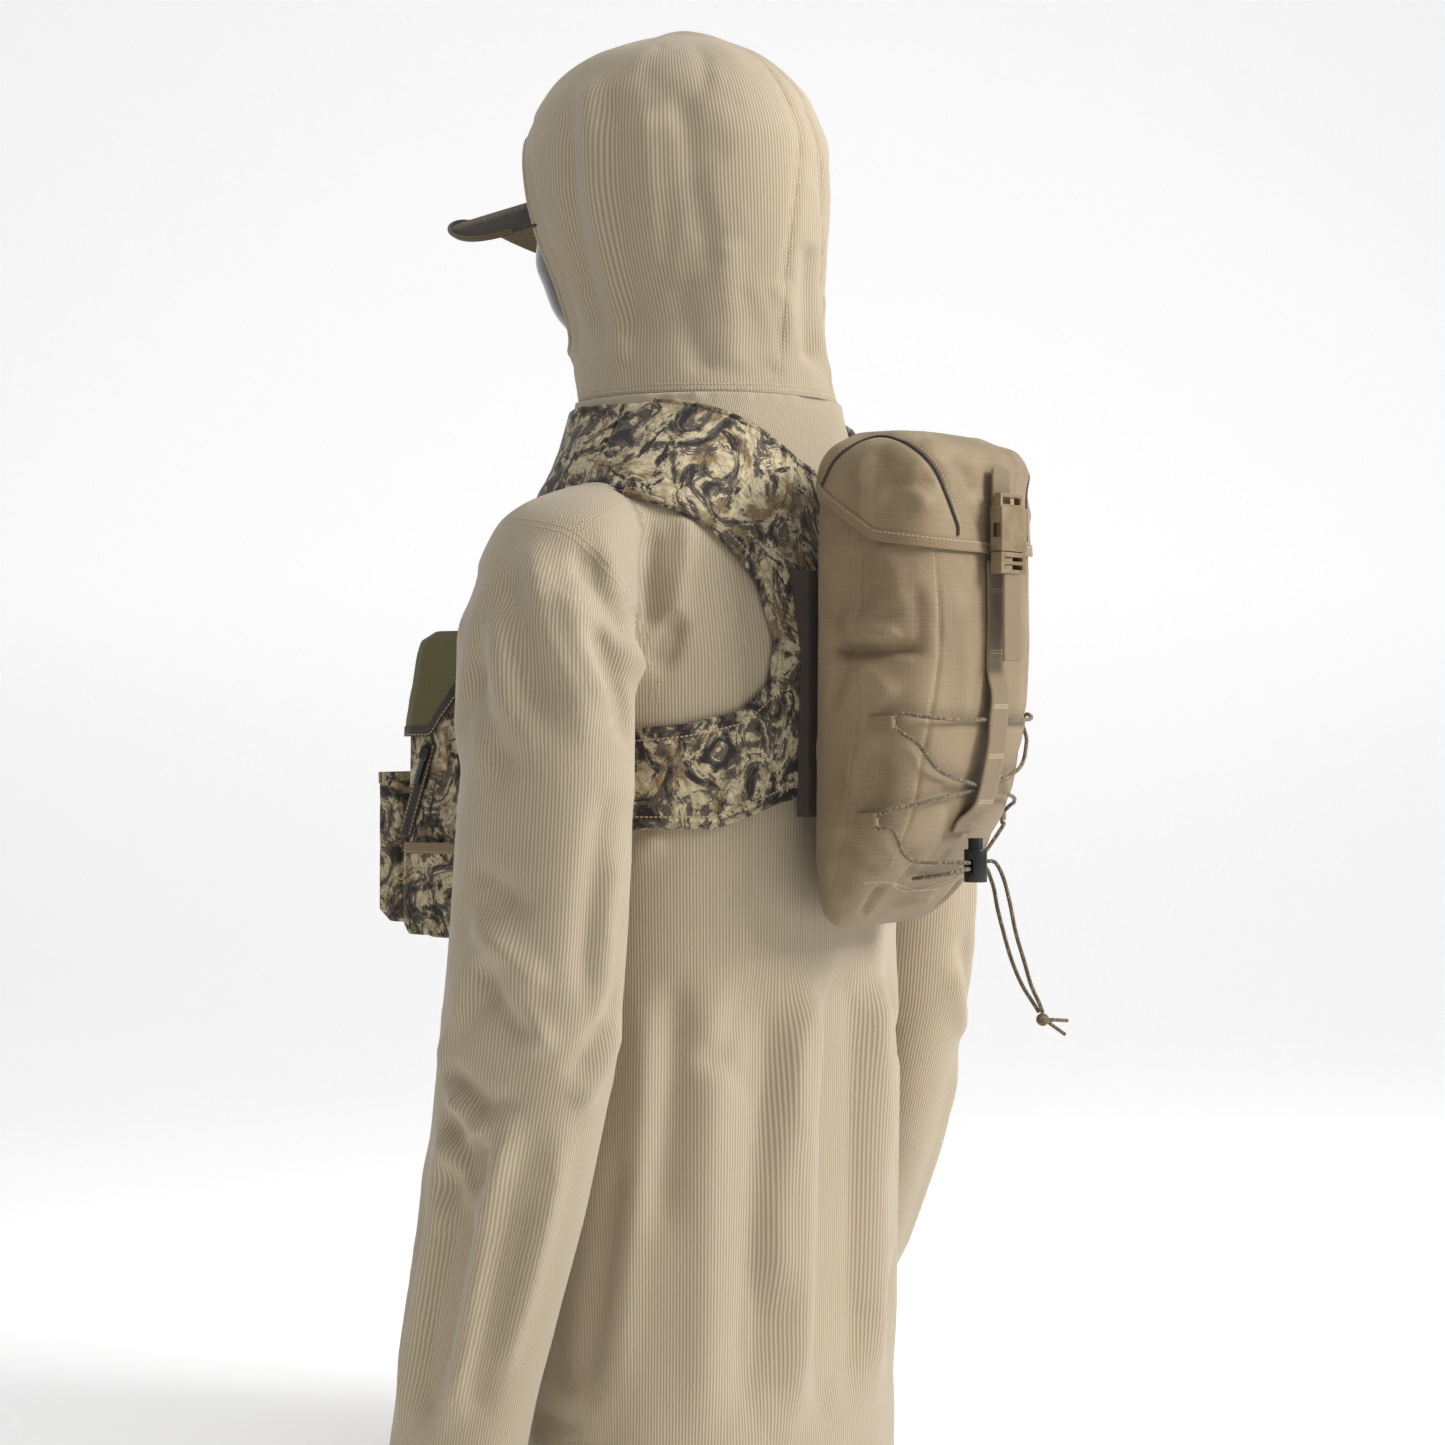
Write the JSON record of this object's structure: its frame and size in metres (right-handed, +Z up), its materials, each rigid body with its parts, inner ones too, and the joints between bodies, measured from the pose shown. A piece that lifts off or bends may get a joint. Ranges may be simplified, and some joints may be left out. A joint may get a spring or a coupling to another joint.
{
  "type": "hooded field outfit on a display form",
  "caption": "Hooded sun shirt, field cap, camouflage chest harness with a chest pouch, and a back pouch with bungee lacing, worn by a plain display form.",
  "frame": {"origin": "centre of the display form's flat base, on the surface it stands on", "axes": "+Z up, towards the top of the hood; the wearer faces -Y; the wearer's left is +X"},
  "size_m": [0.588, 0.5508, 1.1318],
  "materials": {
    "form": "gloss",
    "shirt": "matte knit with a fine vertical rib",
    "cap_cloth": "matte twill",
    "camo": "matte printed",
    "pack_cloth": "matte coated weave",
    "olive_cloth": "matte coated weave",
    "webbing": "woven, slight sheen",
    "bungee": "braided",
    "buckle": "satin",
    "lock": "satin",
    "spring": "satin"
  },
  "bodies": {
    "outfit": {"bungee_knot": "bungee", "bungee_lacing": "bungee", "bungee_tail_left": "bungee", "bungee_tail_right": "bungee", "cap_bill": "cap_cloth", "cap_crown": "cap_cloth", "cord_lock_barrel": "lock", "cord_lock_spring": "spring", "form_arm_left": "form", "form_arm_right": "form", "form_head": "form", "form_torso": "form", "front_webbing_left": "webbing", "front_webbing_right": "webbing", "harness_back_panel": "camo", "hood": "shirt", "lace_loop_lower_left": "webbing", "lace_loop_lower_right": "webbing", "lace_loop_upper_left": "webbing", "lace_loop_upper_right": "webbing", "ladder_lock_left": "buckle", "ladder_lock_right": "buckle", "pack_body": "pack_cloth", "pack_mount_strap_left": "webbing", "pack_mount_strap_right": "webbing", "pack_webbing": "webbing", "pouch_back_panel": "camo", "pouch_body": "camo", "pouch_front_pocket": "camo", "pouch_side_pocket_left": "camo", "pouch_side_pocket_right": "camo", "pouch_zip_left": "webbing", "pouch_zip_right": "webbing", "shirt_body": "shirt", "shoulder_strap_left": "camo", "shoulder_strap_right": "camo", "side_webbing_left": "webbing", "side_webbing_right": "webbing", "sleeve_left": "shirt", "sleeve_right": "shirt"},
    "back_lid": {"pack_lid": "pack_cloth", "pack_lid_webbing": "webbing", "buckle_female": "buckle"},
    "buckle_insert": {"buckle_male": "buckle", "pack_strap_tail": "webbing"},
    "lock_button": {"cord_lock_plunger": "lock"},
    "chest_lid": {"pouch_lid": "olive_cloth"},
    "left_slider": {"zip_slider_left": "lock"},
    "right_slider": {"zip_slider_right": "lock"}
  },
  "joints": [
    {"name": "back_lid_hinge", "type": "hinge", "parent": "outfit", "child": "back_lid", "pos_m": [0, 0.138, 0.765], "axis": [1, 0, 0], "range_deg": [0, 62]},
    {"name": "buckle_slide", "type": "slide", "parent": "back_lid", "child": "buckle_insert", "axis": [0, 0, -1], "range_m": [0, 0.03]},
    {"name": "lock_button_press", "type": "slide", "parent": "outfit", "child": "lock_button", "axis": [0, 0, -1], "range_m": [0, 0.005], "stiffness_N_per_m": 600, "springref_m": -0.002, "deforming": ["cord_lock_spring"]},
    {"name": "chest_lid_hinge", "type": "hinge", "parent": "outfit", "child": "chest_lid", "pos_m": [0, -0.138, 0.655], "axis": [-1, 0, 0], "range_deg": [0, 60]},
    {"name": "left_zip_slide", "type": "slide", "parent": "outfit", "child": "left_slider", "axis": [0, -0.3355, -0.942], "range_m": [0, 0.058]},
    {"name": "right_zip_slide", "type": "slide", "parent": "outfit", "child": "right_slider", "axis": [0, -0.3355, -0.942], "range_m": [0, 0.058]}
  ]
}
